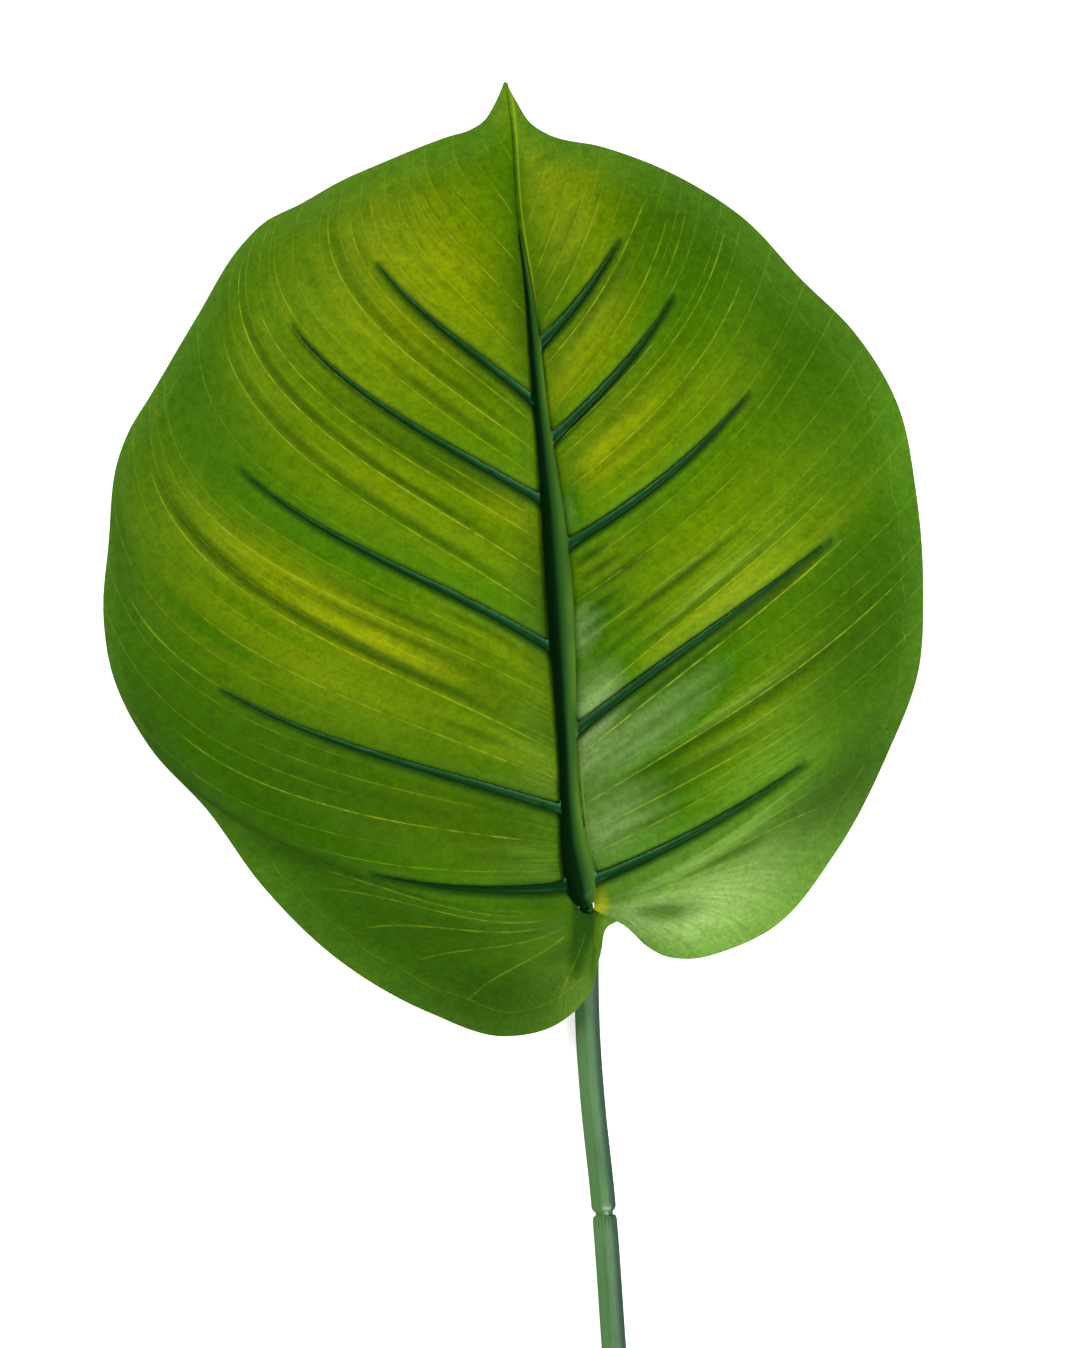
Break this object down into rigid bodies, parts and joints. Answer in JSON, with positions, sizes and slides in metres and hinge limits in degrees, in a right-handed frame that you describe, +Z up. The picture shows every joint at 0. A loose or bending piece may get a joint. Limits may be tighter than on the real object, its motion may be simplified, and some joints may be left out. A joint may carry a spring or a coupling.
{
  "type": "artificial pothos leaf",
  "caption": "Heart-shaped artificial pothos leaf lying face up: a pressed satin blade on a moulded rib frame, with a wired plastic stem.",
  "frame": {"origin": "centre of the bounding box's underside, on the surface that the leaf lies on", "axes": "+Z up out of the leaf's face, +Y from the cut end of the stem to the tip of the leaf, +X to the right of the leaf seen from above"},
  "size_m": [0.2196, 0.3806, 0.0294],
  "materials": {
    "satin_fabric": "green satin with printed veins, heat-pressed",
    "rib_plastic": "dark blue-green moulded plastic, satin",
    "stem_plastic": "grey-green moulded plastic, satin",
    "steel_wire": "drawn steel wire, cut"
  },
  "bodies": {
    "root": {"blade": "satin_fabric", "rib_frame": "rib_plastic", "upper_stem": "stem_plastic", "lower_stem": "stem_plastic", "wire_core": "steel_wire"}
  },
  "joints": []
}
